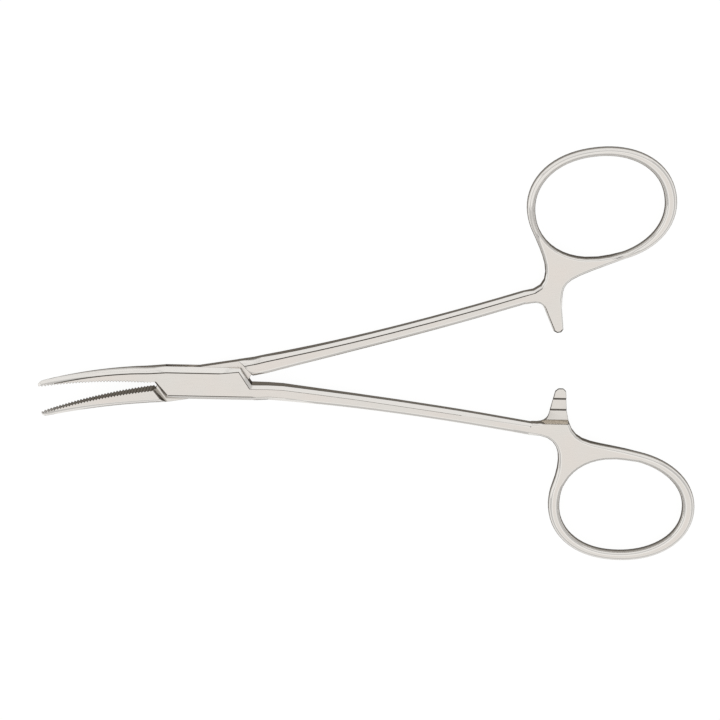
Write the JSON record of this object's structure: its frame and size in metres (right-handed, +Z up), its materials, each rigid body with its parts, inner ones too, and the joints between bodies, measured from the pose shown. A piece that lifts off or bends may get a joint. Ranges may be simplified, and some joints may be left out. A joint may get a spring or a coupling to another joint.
{
  "type": "hemostat forceps",
  "caption": "Curved mosquito hemostat: slender serrated jaws, box-lock hinge, bevelled shanks, oval finger rings and an interlocking ratchet, shown part open.",
  "frame": {"origin": "on the hinge pin's axis, in the plane of the underside of the box lock, which is what the part rests on", "axes": "+X from the pin towards the finger rings, along the middle line between the two shanks at rest; +Y towards the male half's ring; +Z up along the pin, with the part lying flat"},
  "size_m": [0.126, 0.0827, 0.0044],
  "materials": {
    "satin_steel": "satin, with bright ground bevels",
    "pin_steel": "ground flush with the cheeks"
  },
  "bodies": {
    "female_body": {"female_half": "satin_steel", "lock_pin": "pin_steel"},
    "male_body": {"male_half": "satin_steel"}
  },
  "joints": [
    {"name": "box_lock_hinge", "type": "hinge", "parent": "female_body", "child": "male_body", "pos_m": [0, 0, 0.0022], "axis": [0, 0, 1], "range_deg": [-9.7, 50]}
  ]
}
